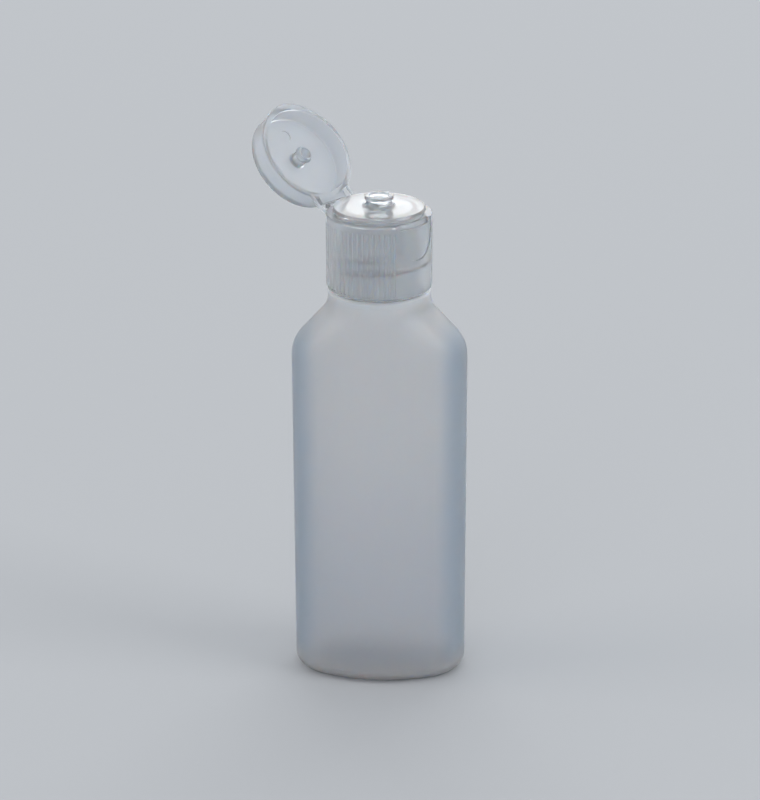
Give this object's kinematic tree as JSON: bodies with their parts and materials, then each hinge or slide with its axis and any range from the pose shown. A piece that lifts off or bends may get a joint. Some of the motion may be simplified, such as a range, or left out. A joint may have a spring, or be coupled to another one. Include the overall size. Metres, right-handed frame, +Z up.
{
  "type": "oval plastic bottle",
  "caption": "Small oval squeeze bottle of translucent plastic with sloped shoulders, a ribbed screw closure, a pouring nozzle and a flip lid on a living hinge, standing open.",
  "frame": {"origin": "centre of the base, on the surface that the bottle stands on", "axes": "+Z up along the neck, X across the wide side, Y across the narrow side"},
  "size_m": [0.0501, 0.0394, 0.1326],
  "materials": {
    "bottle_plastic": "translucent satin, milky",
    "closure_plastic": "translucent gloss, slightly milky",
    "gasket_foam": "soft matte"
  },
  "bodies": {
    "bottle": {"bottle": "bottle_plastic"},
    "gasket": {"sealing_gasket": "gasket_foam"},
    "closure": {"cap_base": "closure_plastic", "living_hinge": "closure_plastic"},
    "lid": {"lid": "closure_plastic"}
  },
  "joints": [
    {"name": "cap_lift", "type": "slide", "parent": "bottle", "child": "gasket", "axis": [0, 0, 1], "range_m": [0, 0.00477]},
    {"name": "cap_turn", "type": "hinge", "parent": "gasket", "child": "closure", "pos_m": [0, 0, 0.1132], "axis": [0, 0, 1], "range_deg": [0, 540]},
    {"name": "lid_flip", "type": "hinge", "parent": "closure", "child": "lid", "pos_m": [-0.01046, 0.00829, 0.11301], "axis": [-0.6211, -0.7837, 0], "range_deg": [-130.2, 49.8], "deforming": ["living_hinge"]}
  ],
  "couplings": [
    {"joint": "cap_lift", "follows": "cap_turn", "m_per_rad": 0.00050532}
  ]
}
